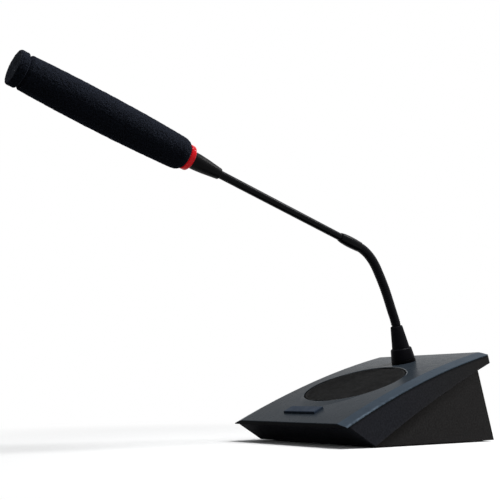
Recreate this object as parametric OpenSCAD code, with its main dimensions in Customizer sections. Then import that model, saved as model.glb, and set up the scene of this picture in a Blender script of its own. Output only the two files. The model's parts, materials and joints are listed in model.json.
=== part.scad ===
// Conference microphone: a sloped table unit with a round loudspeaker grille, a talk key
// and a gooseneck that carries a long foam-covered microphone with a red signal ring.
// Millimetres. X runs across the unit, the front that faces the talker is -Y, Z is up.
// The origin is the middle of the rubber mat's underside, on the table.

/* [Base] */
// Width of the top panel across its lower edges
panel_w = 150; // [136:1:170]
// Width of the sloped band along each side of the top panel
bevel_w = 10; // [5:0.5:13]
// Thickness of the top panel
panel_t = 3.7; // [3:0.1:4.6]
// Depth of the foot on the table
foot_d = 166; // [160:1:180]
// How far the top panel reaches ahead of the foot
front_overhang = 34; // [30:1:38]
// Height of the panel's front edge over the underside of the case
front_edge_h = 18.6; // [18:0.2:24]
// Height of the panel's back edge over the underside of the case
back_edge_h = 84.1; // [80:0.5:92]
// How far the panel's back edge stands ahead of the foot's back edge
back_inset = 3; // [1:0.5:6]
// Rise of the bowed panel over its chord
crown = 5.4; // [3.6:0.2:7]
// Height of the upright rim at the back
rim_h = 11.4; // [10:0.2:14]
// Rise of the bowed parting line over its chord
parting_crown = 2.6; // [1.6:0.1:3.6]
// How far the parting line stands out past the panel's edge on each side
side_flare = 1; // [0.5:0.1:2]
// How far the top of the back wall stands ahead of its bottom
waist_inset = 20.4; // [17:0.4:25]
// Wall thickness of the two case mouldings
wall = 2.5; // [2:0.1:3]
// Gap along the joints between mouldings
seam = 0.2; // [0.1:0.05:0.3]
// Thickness of the steel base plate
plate_t = 2; // [1.6:0.1:3]
// Thickness of the rubber mat under the base plate
mat_t = 1.2; // [0.8:0.1:2]

/* [Loudspeaker] */
// Diameter of the round grille
grille_d = 100; // [90:1:104]
// Way along the panel from its front edge to the middle of the grille
grille_pos = 95; // [93:1:100]
// Thickness of the grille plate
grille_t = 1.2; // [0.8:0.1:1.6]
// Spacing of the holes in the grille
hole_pitch = 5.2; // [5:0.1:6.5]
// Diameter of the holes in the grille
hole_d = 3.2; // [2.4:0.1:3.8]
// Depth of the loudspeaker's basket
basket_depth = 16; // [13:0.5:18]
// Diameter of the loudspeaker's magnet
magnet_d = 54; // [46:1:58]

/* [Talk key] */
// Width of the key
key_w = 41; // [30:1:48]
// Depth of the key along the panel
key_d = 11.8; // [10:0.2:15]
// Height of the key over the panel
key_h = 2.1; // [1.8:0.1:4]
// Way along the panel from its front edge to the middle of the key
key_pos = 23.9; // [22:0.1:27]
// Travel of the key when pressed
key_travel = 1.2; // [0.8:0.1:1.6]

/* [Neck] */
// Way along the panel from its front edge to the neck's foot
neck_pos = 170.4; // [167:0.5:174]
// Outer diameter of the gooseneck over its ribs
hose_d = 9; // [7.5:0.1:9.5]
// Height of the collar's flange
flange_h = 3.2; // [2.5:0.1:4]
// Height of the collar over its flange
collar_h = 11.6; // [10:0.2:14]
// Diameter of the collar's flange
flange_d = 24.4; // [23:0.2:27]
// Height of the rubber boot over the collar
boot_h = 22.8; // [18:0.2:28]
// Length of the first bend above the boot
low_bend_len = 11; // [8:0.5:16]
// Turn of the first bend in degrees
low_bend = 11.5; // [6:0.5:16]
// Length of the middle stretch
mid_bend_len = 50; // [40:0.5:60]
// Turn of the middle stretch in degrees
mid_bend = 1; // [0.5:0.5:6]
// Length of the top bend
top_bend_len = 36; // [32:0.5:48]
// Turn of the top bend in degrees
top_bend = 48.5; // [30:0.5:56]
// Spacing of the gooseneck's ribs
rib_pitch = 2.2; // [2:0.1:3]

/* [Head] */
// Length of the coupler between gooseneck and stem
coupler_len = 27; // [24:0.5:34]
// Diameter of the stem tube
stem_d = 7; // [6.4:0.1:7.4]
// Length of the stem tube in the open
stem_len = 152; // [120:1:190]
// Length of the tapered ferrule behind the signal ring
ferrule_len = 32; // [26:0.5:38]
// Diameter of the signal ring
ring_d = 22.6; // [21:0.2:24.5]
// Thickness of the signal ring
ring_t = 5.2; // [4.5:0.1:6]
// Diameter of the foam windscreen at its fullest
foam_d = 31.5; // [29:0.5:35]
// Length of the foam windscreen
foam_len = 149.5; // [120:0.5:170]
// Thickness of the foam end disc
tip_t = 8.3; // [6:0.1:10]
// Diameter of the microphone tube inside the foam
mic_d = 16; // [15.4:0.1:16.6]

/* [Hidden] */
// Facet counts that set how round the curved faces are drawn
arc_fn = 2160;
round_fn = 96;
small_fn = 32;
// Reach of the cutting blocks past the shape
over = 1;
reach = 30;
span = 500;

// Side view corners as [y, z]
case_z = mat_t;
front_top = [-foot_d / 2 - front_overhang, case_z + front_edge_h];
back_top = [foot_d / 2 - back_inset, case_z + back_edge_h];
front_foot = [-foot_d / 2, case_z];
back_foot = [foot_d / 2, case_z];

// Centre of the arc over the chord from p to q with the rise s
function arc_radius(p, q, s) = (pow(norm(q - p), 2) / 4 + s * s) / (2 * s);
function arc_up(p, q) = [-(q - p)[1], (q - p)[0]] / norm(q - p);
function arc_centre(p, q, s) = (p + q) / 2 - arc_up(p, q) * (arc_radius(p, q, s) - s);

top_r = arc_radius(front_top, back_top, crown);
top_c = arc_centre(front_top, back_top, crown);
front_angle = atan2(front_top[1] - top_c[1], front_top[0] - top_c[0]);
back_angle = atan2(back_top[1] - top_c[1], back_top[0] - top_c[0]);
back_out = [cos(back_angle), sin(back_angle)];
back_rim = back_top - rim_h * back_out;
under_r = arc_radius(front_foot, back_rim, parting_crown);
under_c = arc_centre(front_foot, back_rim, parting_crown);
function under_z(y) = under_c[1] + sqrt(under_r * under_r - pow(y - under_c[0], 2));

// Places along the bowed surface: s is the way from the front edge, p is [y, z, tilt forward]
function surface_angle(s) = front_angle - s / top_r * 180 / PI;
function surface_at(s) = top_c + top_r * [cos(surface_angle(s)), sin(surface_angle(s))];
function surface_tilt(s) = surface_angle(s) - 90;
function straight(p, l) = [p[0] - l * sin(p[2]), p[1] + l * cos(p[2]), p[2]];
panel_len = top_r * (front_angle - back_angle) * PI / 180;
neck_foot = [surface_at(neck_pos)[0], surface_at(neck_pos)[1], surface_tilt(neck_pos)];

// The back wall starts at the waist, behind the cable that hangs from the neck's spigot
spigot_r = 7;
spigot_len = 11;
cable_r = 1.6;
cable_room = 2;
cable_drop = straight(neck_foot, -spigot_len)[0] + cable_r + cable_room;
wall_top = max(foot_d / 2 - waist_inset, cable_drop + wall);
waist = [wall_top, under_z(wall_top)];

// Straight lines of the front and the back
front_run = (front_foot - front_top) / norm(front_foot - front_top);
front_in = [-front_run[1], front_run[0]];
rim_in = [-sin(back_angle), cos(back_angle)];
wall_run = (back_foot - waist) / norm(back_foot - waist);
wall_in = [wall_run[1], -wall_run[0]];

// Side planes as a point and an outward direction
function plane_dir(p, q, s) = cross(q - p, s - p) / norm(cross(q - p, s - p));
function outward(n) = n[0] < 0 ? -n : n;
half_w = panel_w / 2;
corner_a = [half_w, front_top[0], front_top[1] - panel_t];
corner_b = [half_w, back_top[0], back_top[1] - panel_t];
corner_f = [half_w + side_flare, front_foot[0], front_foot[1]];
upper_dir = outward(plane_dir(corner_a, corner_b, corner_f));
waist_y = waist[0] - corner_f[1];
waist_z = waist[1] - corner_f[2];
waist_x = corner_f[0] - (upper_dir[1] * waist_y + upper_dir[2] * waist_z) / upper_dir[0];
corner_d = [waist_x, waist[0], waist[1]];
back_draft = 0.2;
corner_e = [half_w - back_draft, back_foot[0], back_foot[1]];
lower_dir = outward(plane_dir(corner_f, corner_d, corner_e));

// Base plate, mat and screw posts
plate_edge = 3;
plate_toe = 10;
ledge_w = 5;
ledge_t = 2;
plate_x = corner_e[0] - plate_edge;
plate_y0 = front_foot[0] + plate_toe;
plate_y1 = back_foot[0] - plate_edge;
plate_top = case_z + plate_t;
mat_margin = 22;
mat_r = 5;
post_r = 4;
post_x = half_w - 17;
post_y = [plate_y0 + 13, waist[0] - 13];
post_pos = [for (x = [-post_x, post_x], y = post_y) [x, y]];
screw_r = 1.45;
pilot_r = screw_r + 0.05;
screw_len = 14;
head_r = screw_r + 1.3;
head_h = plate_t * 0.75;

// Edges of the panel: upright land and chamfer
edge_land = 0.7;
edge_cut = 0.7;

// Loudspeaker levels below the crown of the panel, along its axis
grille_r = grille_d / 2;
grille_rise = -0.5;
grille_low = grille_rise - grille_t;
lip_top = grille_rise;
lip_r = grille_r + 0.6;
lip_low = -2;
lip_slope = 12;
seat_out = grille_r + 4;
seat_in = grille_r - 3;
seat_low = -pow(seat_out, 2) / (2 * top_r) - panel_t - 0.5;
frame_t = 1.5;
frame_out = grille_r + 3;
frame_low = seat_low - frame_t;
throat_r = grille_r - 5;
basket_r = magnet_d / 2 - 5;
basket_low = frame_low - basket_depth;
pole_t = 3;
magnet_t = 9;
magnet_top = basket_low - pole_t;
magnet_low = magnet_top - magnet_t;
bolt_r = grille_r + 1;
bolt_angles = [45, 135, 225, 315];
bolt_screw_r = 1.1;

// Talk key levels below the panel's surface
key_gap = 0.3;
key_skirt = 1.6;
key_flange_t = 1.5;
key_flange_top = -panel_t - key_gap;
key_flange_low = key_flange_top - key_flange_t;
key_stem_r = 2.2;
key_stem_low = key_flange_low - 1.2;
plunger_r = 1.75;
switch_top = key_stem_low - key_travel - 0.3;
switch_t = 3.8;
switch_w = 6.2;
switch_low = switch_top - switch_t;
plunger_low = switch_top - 1.5;
switch_board_t = 1.6;
switch_board_d = 13;
switch_post_x = key_w / 2 + 5.5;
switch_post_r = 2.4;
switch_board_w = 2 * switch_post_x + 7;

// Main board and the two line sockets at the back
board_t = 1.6;
spacer_h = 6;
spacer_r = 2.6;
board_z = plate_top + spacer_h;
board_top = board_z + board_t;
board_len = 50;
board_y0 = waist[0] - board_len;
board_x = 46;
board_holes = [for (x = [-board_x + 5, board_x - 5], y = [board_y0 + 5, waist[0] - 6]) [x, y]];
socket_x = 18;
socket_w = 16;
socket_h = 13.4;
socket_d = 18;
socket_top = board_top + socket_h;
function back_wall_y(z) = waist[0] + (back_foot[0] - waist[0]) * (waist[1] - z) / (waist[1] - back_foot[1]);
socket_face = back_wall_y(socket_top) - 1;
board_y1 = socket_face - 1;
socket_mouth_w = 11.8;
socket_mouth_h = 8.2;
socket_mouth_d = 13;
socket_sill = 2.4;
latch_w = 6.2;
latch_h = 2;

// Neck foot, levels over the panel's surface along the neck's axis
spot_depth = 0.4;
flange_low = -spot_depth;
collar_low = flange_low + flange_h + spot_depth;
collar_top = collar_low + collar_h;
mouth = collar_top + boot_h;
collar_r = flange_d / 2 - 0.2;
collar_top_r = collar_r - 1.4;
hose_r = hose_d / 2;
hose_fit = 0.2;
boot_spigot_r = hose_r + 3.3;
boot_spigot_len = 8;
boot_r = hose_r + 4.4;
boot_top_r = hose_r + 1.6;
hose_rest = 4;
cable_bore_r = 2.4;
collar_bore_r = hose_r - 1;
washer_t = 1;
washer_r = 10.8;
nut_t = 4;
nut_r = 10.8;
nut_top = -panel_t - 0.1 - washer_t;

// Path of the neck: p is [y, z, tilt forward], b is [length, turn]
function bend_r(b) = b[0] * 180 / (b[1] * PI);
function bend(p, b) = [
  p[0] + bend_r(b) * (cos(p[2] + b[1]) - cos(p[2])),
  p[1] + bend_r(b) * (sin(p[2] + b[1]) - sin(p[2])),
  p[2] + b[1]
];
function part_bend(p, b, l) = bend(p, [l, b[1] * l / b[0]]);
bend_1 = [low_bend_len, low_bend];
bend_2 = [mid_bend_len, mid_bend];
bend_3 = [top_bend_len, top_bend];
neck_0 = straight(neck_foot, mouth);
neck_1 = bend(neck_0, bend_1);
neck_2 = bend(neck_1, bend_2);
neck_3 = bend(neck_2, bend_3);
len_1 = bend_1[0];
len_2 = len_1 + bend_2[0];
neck_len = len_2 + bend_3[0];
function neck_at(s) =
  s <= 0 ? straight(neck_0, s) :
  s < len_1 ? part_bend(neck_0, bend_1, s) :
  s < len_2 ? part_bend(neck_1, bend_2, s - len_1) :
  s < neck_len ? part_bend(neck_2, bend_3, s - len_2) :
  straight(neck_3, s - neck_len);

// Sections of the gooseneck along the path, one for each way it bends
hose_start = hose_rest + seam / 2 - mouth;
cut_1 = neck_len / 3;
cut_2 = neck_len * 2 / 3;
hose_into = 8;
hose_end = neck_len + hose_into;
hose_bore_r = hose_r - 1.7;
rib_depth = 0.55;
hose_sides = 12;

// Head levels along the straight stem, from the end of the gooseneck
stem_r = stem_d / 2;
stem_bore_r = stem_r - 0.9;
tube_fit = 0.05;
coupler_back = 2;
coupler_low_r = hose_r + 0.65;
coupler_r = hose_r + 1;
coupler_end_r = stem_r + 0.9;
coupler_top = coupler_len - coupler_back;
stem_depth = 12;
stem_seat = coupler_top - stem_depth;
stem_end = coupler_top + stem_len;
stem_into = 10;
ring_low = stem_end + ferrule_len;
ring_top = ring_low + ring_t;
mic_r = mic_d / 2;
mic_wall = 1;
mic_len = foam_len - 2;
light_t = 1;
ring_round = 1.8;
ring_front_round = 0.9;
light_r = ring_d / 2 - ring_front_round - 0.5;
lamp_h = 0.7;
foam_low = ring_top;
foam_top = foam_low + foam_len;
foam_r = foam_d / 2;
foam_end_r = foam_r - 1.4;
foam_round = 9;
foam_shoulder = 5;
foam_fit = 0.1;
groove = 1;
capsule_r = mic_r - mic_wall - tube_fit;
capsule_len = 12;
capsule_pos = 34;
cable_end = neck_len + ring_low + capsule_pos - seam / 2;

// Helpers

// A side view outline given in [y, z], carried across the unit
module across(w) {
  rotate([90, 0, 90]) translate([0, 0, -w / 2]) linear_extrude(w) children();
}

// Stand on the panel's surface at the way s, with Z along its outward direction
module on_panel(s) {
  translate([0, surface_at(s)[0], surface_at(s)[1]]) rotate([surface_tilt(s), 0, 0]) children();
}

// Stand at the end of the gooseneck, with Z along the stem
module on_stem(z) {
  translate([0, neck_3[0], neck_3[1]]) rotate([neck_3[2], 0, 0]) translate([0, 0, z]) children();
}

// All that lies behind the plane through p with the direction n, on both sides of the unit
module half_space(p, n) {
  translate(p) rotate(a = acos(n[0]), v = cross([1, 0, 0], n))
    translate([-span, -span / 2, -span / 2]) cube(span);
}

module between_sides(p, n, inset) {
  intersection() {
    half_space(p - n * inset, n);
    mirror([1, 0, 0]) half_space(p - n * inset, n);
  }
}

// A sheet that follows the bowed panel, with a sloped band and a chamfered edge along each side
module bowed_sheet(outer, depth, band) {
  foot = top_r - depth;
  half = [[foot, outer], [foot + edge_land, outer],
    [foot + edge_land + edge_cut / 2, outer - edge_cut], [top_r, outer - band]];
  translate([0, top_c[0], top_c[1]]) rotate([90, 0, 90]) rotate([0, 0, back_angle])
    rotate_extrude(angle = front_angle - back_angle, $fn = arc_fn)
      polygon(concat(half, [for (i = [3 : -1 : 0]) [half[i][0], -half[i][1]]]));
}

// Square bars that take the corners off the panel's front and back edges
module edge_bars() {
  side = edge_cut * sqrt(2);
  for (s = [0, panel_len]) on_panel(s) rotate([45, 0, 0])
    cube([panel_w + 2 * over, side, side], center = true);
}

// All that lies below the panel's middle, so that posts end inside it
module under_panel(depth) {
  translate([0, top_c[0], top_c[1]]) rotate([90, 0, 90])
    cylinder(r = top_r - depth, h = 2 * panel_w, center = true, $fn = arc_fn);
}

module tube(r, bore, h) {
  difference() {
    cylinder(r = r, h = h, $fn = round_fn);
    translate([0, 0, -over]) cylinder(r = bore, h = h + 2 * over, $fn = round_fn);
  }
}

module block(w, d, low, top) {
  translate([-w / 2, -d / 2, low]) cube([w, d, top - low]);
}

module rod(r, low, top) {
  translate([0, 0, low]) cylinder(r = r, h = top - low, $fn = small_fn);
}

// One ring of points round the neck's path
function path_ring(s, r, sides) = let (p = neck_at(s)) [
  for (i = [0 : sides - 1])
    let (a = 360 * i / sides)
      [r * cos(a), p[0] + r * sin(a) * cos(p[2]), p[1] + r * sin(a) * sin(p[2])]
];

// Triangles between ring j and ring j + 1 of a sweep
function skin(j, k, sides, flip) = [
  for (i = [0 : sides - 1], half = [0, 1])
    let (a = j * sides + i, b = j * sides + (i + 1) % sides)
      let (d = k * sides + i, c = k * sides + (i + 1) % sides)
        let (f = half == 0 ? [a, d, c] : [a, c, b])
          flip ? [f[2], f[1], f[0]] : f
];

// A ribbed hose with its bore along the neck's path
module ribbed_hose(s0, s1) {
  ribs = max(2, round((s1 - s0) / rib_pitch));
  outer_n = 2 * ribs;
  inner_n = max(4, round((s1 - s0) / 4));
  outer = [for (j = [0 : outer_n])
    path_ring(s0 + (s1 - s0) * j / outer_n, j % 2 == 0 ? hose_r - rib_depth : hose_r, hose_sides)];
  inner = [for (j = [0 : inner_n])
    path_ring(s0 + (s1 - s0) * j / inner_n, hose_bore_r, hose_sides)];
  rings = concat(outer, inner);
  first = outer_n + 1;
  last = outer_n + 1 + inner_n;
  outside = [for (j = [0 : outer_n - 1]) each skin(j, j + 1, hose_sides, false)];
  inside = [for (j = [first : last - 1]) each skin(j, j + 1, hose_sides, true)];
  foot_end = skin(0, first, hose_sides, true);
  head_end = skin(outer_n, last, hose_sides, false);
  polyhedron(points = [for (r = rings) each r],
    faces = concat(outside, inside, foot_end, head_end), convexity = 10);
}

// A solid sweep through rings of points
module swept_rod(rings, sides) {
  n = len(rings) - 1;
  skins = [for (j = [0 : n - 1]) each skin(j, j + 1, sides, false)];
  low_cap = [for (i = [1 : sides - 2]) [0, i, i + 1]];
  high_cap = [for (i = [1 : sides - 2]) [n * sides, n * sides + i + 1, n * sides + i]];
  polyhedron(points = [for (r = rings) each r], faces = concat(skins, low_cap, high_cap),
    convexity = 10);
}

// A plain round cable along the neck's path
module path_cable(s0, s1) {
  sides = 8;
  n = max(3, round((s1 - s0) / 5));
  swept_rod([for (j = [0 : n]) path_ring(s0 + (s1 - s0) * j / n, cable_r, sides)], sides);
}

// Top panel with its grille seat, key opening, neck hole and screw posts

module top_panel() {
  color("#5b6061") difference() {
    union() {
      bowed_sheet(half_w, panel_t, bevel_w);
      on_panel(grille_pos) translate([0, 0, lip_low])
        cylinder(r1 = lip_r + lip_slope, r2 = lip_r, h = lip_top - lip_low, $fn = round_fn);
      intersection() {
        under_panel(panel_t / 2);
        union() {
          on_panel(grille_pos) rod_ring(seat_out, seat_low);
          for (p = post_pos) translate([p[0], p[1], plate_top])
            cylinder(r = post_r, h = back_edge_h, $fn = small_fn);
          on_panel(key_pos) for (x = [-switch_post_x, switch_post_x]) translate([x, 0, 0])
            rod(switch_post_r, switch_low, panel_t);
        }
      }
    }
    edge_bars();
    on_panel(grille_pos) grille_opening();
    on_panel(key_pos) {
      block(key_w + 2 * key_gap, key_d + 2 * key_gap, -2 * panel_t, panel_t);
      for (x = [-switch_post_x, switch_post_x]) translate([x, 0, 0])
        rod(bolt_screw_r + 0.05, switch_low - over, switch_low + 5);
    }
    on_panel(neck_pos) {
      rod(spigot_r + 0.15, -2 * panel_t, panel_t);
      translate([0, 0, flange_low]) cylinder(r = flange_d / 2 + 0.2, h = panel_t, $fn = round_fn);
    }
    for (p = post_pos) translate([p[0], p[1], plate_top - over])
      cylinder(r = pilot_r, h = screw_len + over, $fn = small_fn);
  }
}

// A round block from the level low up to the panel
module rod_ring(r, low) {
  translate([0, 0, low]) cylinder(r = r, h = -low + panel_t, $fn = round_fn);
}

// What is cut from the panel for the grille: pocket, throat and screw holes
module grille_opening() {
  translate([0, 0, grille_low]) cylinder(r = grille_r + seam, h = reach, $fn = round_fn);
  translate([0, 0, seat_low - over]) cylinder(r = seat_in, h = reach, $fn = round_fn);
  for (a = bolt_angles) rotate([0, 0, a]) translate([bolt_r, 0, seat_low - over])
    cylinder(r = bolt_screw_r + 0.05, h = over + 3, $fn = small_fn);
}

// Upper and lower case

module upper_outline(inset, top) {
  difference() {
    intersection() {
      translate(top_c) circle(r = top, $fn = arc_fn);
      polygon([
        front_top + front_in * inset - front_run * reach,
        back_top + rim_in * inset + back_out * reach,
        back_rim + rim_in * inset - back_out * inset,
        front_foot + front_in * inset + front_run * inset
      ]);
    }
    translate(under_c) circle(r = under_r + inset + seam / 2, $fn = arc_fn);
  }
}

module upper_case() {
  flange = 6;
  floor_x = half_w - wall - flange;
  floor_y0 = plate_y0 + over;
  floor_y1 = waist[0] - wall - 2;
  color("#26272a") difference() {
    intersection() {
      across(2 * panel_w) upper_outline(0, top_r - panel_t - seam);
      between_sides(corner_f, upper_dir, 0);
    }
    intersection() {
      across(2 * panel_w) upper_outline(wall, top_r + panel_t);
      between_sides(corner_f, upper_dir, wall);
    }
    translate([-floor_x, floor_y0, 0]) cube([2 * floor_x, floor_y1 - floor_y0, back_top[1]]);
  }
}

module lower_outline() {
  intersection() {
    translate(under_c) circle(r = under_r - seam / 2, $fn = arc_fn);
    polygon([front_foot, [front_foot[0], waist[1] + reach], waist - wall_run * reach, back_foot]);
  }
}

module lower_case() {
  room_y0 = plate_y0 + ledge_w;
  room_z = plate_top + ledge_t;
  room_x = plate_x - ledge_w;
  back_in = waist + wall_in * wall;
  color("#242425") difference() {
    intersection() {
      across(2 * panel_w) lower_outline();
      between_sides(corner_f, lower_dir, 0);
    }
    intersection() {
      across(2 * panel_w) polygon([[room_y0, room_z], [room_y0, waist[1] + reach],
        back_in - wall_run * reach,
        back_in + wall_run * (waist[1] - room_z) / -wall_run[1]]);
      between_sides(corner_f, lower_dir, wall);
    }
    translate([-room_x, room_y0, 0])
      cube([2 * room_x, plate_y1 - ledge_w - room_y0, room_z + over]);
    translate([-plate_x, plate_y0, 0]) cube([2 * plate_x, plate_y1 - plate_y0, plate_top]);
    for (x = [-socket_x, socket_x]) translate([x, 0, 0])
      socket_window();
  }
}

// The opening in the back wall round one line socket
module socket_window() {
  w = socket_w + 2 * seam;
  translate([-w / 2, socket_face - 8, board_top - seam])
    cube([w, reach, socket_h + 2 * seam]);
}

// Base plate, mat and case screws

module base_plate() {
  color("#3a3c3e") difference() {
    translate([-plate_x + seam, plate_y0 + seam, case_z])
      cube([2 * (plate_x - seam), plate_y1 - plate_y0 - 2 * seam, plate_t]);
    for (p = post_pos) translate([p[0], p[1], case_z]) {
      translate([0, 0, -over]) cylinder(r = screw_r + 0.2, h = plate_t + 2 * over, $fn = small_fn);
      cylinder(r1 = head_r + 0.1, r2 = screw_r + 0.1, h = head_h, $fn = small_fn);
      translate([0, 0, -over]) cylinder(r = head_r + 0.1, h = over, $fn = small_fn);
    }
  }
}

module rubber_mat() {
  w = 2 * (post_x - mat_margin / 2);
  d = foot_d - 2 * mat_margin;
  color("#161617") linear_extrude(mat_t) union() {
    square([w - 2 * mat_r, d], center = true);
    square([w, d - 2 * mat_r], center = true);
    for (x = [-1, 1], y = [-1, 1]) translate([x * (w / 2 - mat_r), y * (d / 2 - mat_r)])
      circle(r = mat_r, $fn = small_fn);
  }
}

// A countersunk screw with its head down
module case_screw() {
  difference() {
    union() {
      cylinder(r1 = head_r, r2 = screw_r, h = head_h, $fn = small_fn);
      cylinder(r = screw_r, h = screw_len, $fn = small_fn);
    }
    block(2 * screw_r, 0.6, -over, head_h * 0.6);
    block(0.6, 2 * screw_r, -over, head_h * 0.6);
  }
}

module case_screws() {
  color("#8d9093") for (p = post_pos) translate([p[0], p[1], case_z]) case_screw();
}

// Loudspeaker, all on the axis through the middle of the grille

module speaker_grille() {
  rows = ceil(grille_r / hole_pitch);
  row_d = hole_pitch * sqrt(3) / 2;
  field_r = grille_r - 4;
  color("#1d1e1f") on_panel(grille_pos) translate([0, 0, grille_low]) linear_extrude(grille_t)
    difference() {
      circle(r = grille_r, $fn = round_fn);
      for (j = [-rows : rows], i = [-rows : rows]) {
        x = (i + (abs(j) % 2) / 2) * hole_pitch;
        y = j * row_d;
        if (norm([x, y]) < field_r) translate([x, y]) circle(d = hole_d, $fn = 16);
      }
    }
}

module speaker_frame() {
  windows = 6;
  window_w = 16;
  t = 1.2;
  color("#2b2c2e") on_panel(grille_pos) difference() {
    rotate_extrude($fn = round_fn) polygon([[throat_r - 1, frame_low], [throat_r - 1, seat_low],
      [frame_out, seat_low], [frame_out, frame_low], [throat_r + t, frame_low],
      [basket_r + 5 + t, basket_low + t], [basket_r + 5 + t, basket_low],
      [basket_r - 4, basket_low], [basket_r - 4, basket_low + t], [basket_r + 5, basket_low + t]]);
    for (i = [0 : windows - 1]) rotate([0, 0, 360 / windows * i])
      translate([basket_r + 8, -window_w / 2, basket_low + 3])
        cube([reach, window_w, basket_depth - 6]);
    for (a = bolt_angles) rotate([0, 0, a]) translate([bolt_r, 0, 0])
      rod(bolt_screw_r + 0.2, frame_low - over, seat_low + over);
  }
}

// Paper cone with its rolled surround, glued to the front of the frame
module speaker_cone() {
  t = 0.8;
  roll_out = seat_in - seam;
  roll_in = roll_out - 9;
  roll_mid = (roll_out + roll_in) / 2 - 0.5;
  roll_r = 2.6;
  neck_r = 12;
  neck_z = basket_low + 6;
  color("#18191a") on_panel(grille_pos) rotate_extrude($fn = round_fn) union() {
    polygon([[neck_r, neck_z], [roll_in, seat_low], [roll_in + 2, seat_low],
      [roll_in + 2, seat_low + t], [roll_in - t, seat_low + t], [neck_r, neck_z + 2 * t]]);
    difference() {
      translate([roll_mid, seat_low]) circle(r = roll_r, $fn = small_fn);
      translate([roll_mid, seat_low]) circle(r = roll_r - t, $fn = small_fn);
      translate([roll_mid - reach, seat_low - reach]) square([2 * reach, reach]);
    }
    translate([roll_mid + roll_r - t, seat_low]) square([roll_out - roll_mid - roll_r + t, t]);
    translate([roll_in + 1, seat_low]) square([roll_mid - roll_r - roll_in - 1 + t, t]);
  }
}

// Coil former from the cone's neck into the gap round the pole
module voice_coil() {
  color("#a5733a") on_panel(grille_pos) translate([0, 0, basket_low - 2]) tube(12.1, 11.4, 8);
}

module dust_cap() {
  r = 16;
  rise = 7;
  z = basket_low + 8.2;
  color("#101112") on_panel(grille_pos) difference() {
    intersection() {
      translate([0, 0, z + rise - r]) sphere(r = r, $fn = round_fn);
      translate([0, 0, z]) cylinder(r = r, h = r, $fn = round_fn);
    }
    translate([0, 0, z + rise - r]) sphere(r = r - 0.8, $fn = round_fn);
  }
}

module speaker_magnet() {
  color("#2a2a2d") on_panel(grille_pos) translate([0, 0, magnet_low])
    tube(magnet_d / 2, basket_r - 6, magnet_t);
}

// Steel plates on both faces of the magnet, with the pole through its middle
module magnet_plates() {
  pole_r = 11;
  color("#7f8386") on_panel(grille_pos) {
    translate([0, 0, magnet_top]) tube(magnet_d / 2 - 3, pole_r + 1.5, pole_t);
    translate([0, 0, magnet_low - pole_t]) {
      cylinder(r = magnet_d / 2 - 3, h = pole_t, $fn = round_fn);
      cylinder(r = pole_r, h = 2 * pole_t + magnet_t, $fn = round_fn);
    }
  }
}

// A small pan-head screw with its head down, its head against the level z
module pan_screw(r, length) {
  difference() {
    union() {
      cylinder(r = r, h = length, $fn = small_fn);
      translate([0, 0, -1.4]) cylinder(r = 2 * r, h = 1.4, $fn = small_fn);
    }
    block(2 * r, 0.5, -2.4, -0.7);
    block(0.5, 2 * r, -2.4, -0.7);
  }
}

module speaker_screws() {
  color("#8d9093") on_panel(grille_pos) for (a = bolt_angles)
    rotate([0, 0, a]) translate([bolt_r, 0, frame_low]) pan_screw(bolt_screw_r, frame_t + 2.6);
}

// Talk key, its switch and the small board under it

// One side view of the key's cap, from the flange's level up to its chamfered top
module cap_outline(w) {
  edge = 0.5;
  polygon([[-w / 2, key_flange_low], [-w / 2, key_h - edge], [edge - w / 2, key_h],
    [w / 2 - edge, key_h], [w / 2, key_h - edge], [w / 2, key_flange_low]]);
}

module talk_key() {
  color("#3d434c") on_panel(key_pos) {
    difference() {
      intersection() {
        across(key_w) cap_outline(key_d);
        rotate([0, 0, 90]) across(key_d) cap_outline(key_w);
      }
      block(key_w - 3, key_d - 3, key_flange_low - over, key_h - 1.8);
    }
    block(key_w + 2 * key_skirt, key_d - 3, key_flange_low, key_flange_top);
    rod(key_stem_r, key_stem_low, key_h - 1);
  }
}

module switch_plunger() {
  color("#b9b4a5") on_panel(key_pos) rod(plunger_r, plunger_low, key_stem_low);
}

module switch_body() {
  color("#1b1b1d") on_panel(key_pos) difference() {
    block(switch_w, switch_w, switch_low, switch_top);
    rod(plunger_r + 0.1, plunger_low - key_travel - 0.2, switch_top + over);
  }
}

module switch_board() {
  low = switch_low - switch_board_t;
  color("#1f4a33") on_panel(key_pos) difference() {
    block(switch_board_w, switch_board_d, low, switch_low);
    for (x = [-switch_post_x, switch_post_x]) translate([x, 0, 0])
      rod(bolt_screw_r + 0.2, low - over, switch_low + over);
  }
}

module switch_screws() {
  color("#8d9093") on_panel(key_pos) for (x = [-switch_post_x, switch_post_x])
    translate([x, 0, switch_low - switch_board_t])
      pan_screw(bolt_screw_r, switch_board_t + 4);
}

// Main board with its parts and the two line sockets

module main_board() {
  color("#1f4a33") difference() {
    translate([-board_x, board_y0, board_z]) cube([2 * board_x, board_y1 - board_y0, board_t]);
    for (p = board_holes) translate([p[0], p[1], 0]) rod(screw_r + 0.2, board_z - over, board_top + over);
  }
}

module board_spacers() {
  color("#b08d43") for (p = board_holes) translate([p[0], p[1], plate_top]) difference() {
    cylinder(r = spacer_r, h = spacer_h, $fn = 6);
    translate([0, 0, 1]) cylinder(r = pilot_r, h = spacer_h, $fn = small_fn);
  }
}

module board_screws() {
  color("#8d9093") for (p = board_holes) translate([p[0], p[1], board_top]) rotate([180, 0, 0])
    pan_screw(screw_r, board_t + spacer_h - 2);
}

module board_components() {
  color("#202124") translate([0, board_y0, board_top]) {
    translate([-24, 24, 0]) cube([14, 14, 2]);
    translate([12, 26, 0]) cube([9, 6, 1.6]);
    translate([-6, 10, 0]) cube([12, 5, 1.8]);
    for (x = [-34, -22, 20, 32]) translate([x, 15, 0]) cylinder(r = 3.2, h = 8, $fn = small_fn);
  }
}

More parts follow.
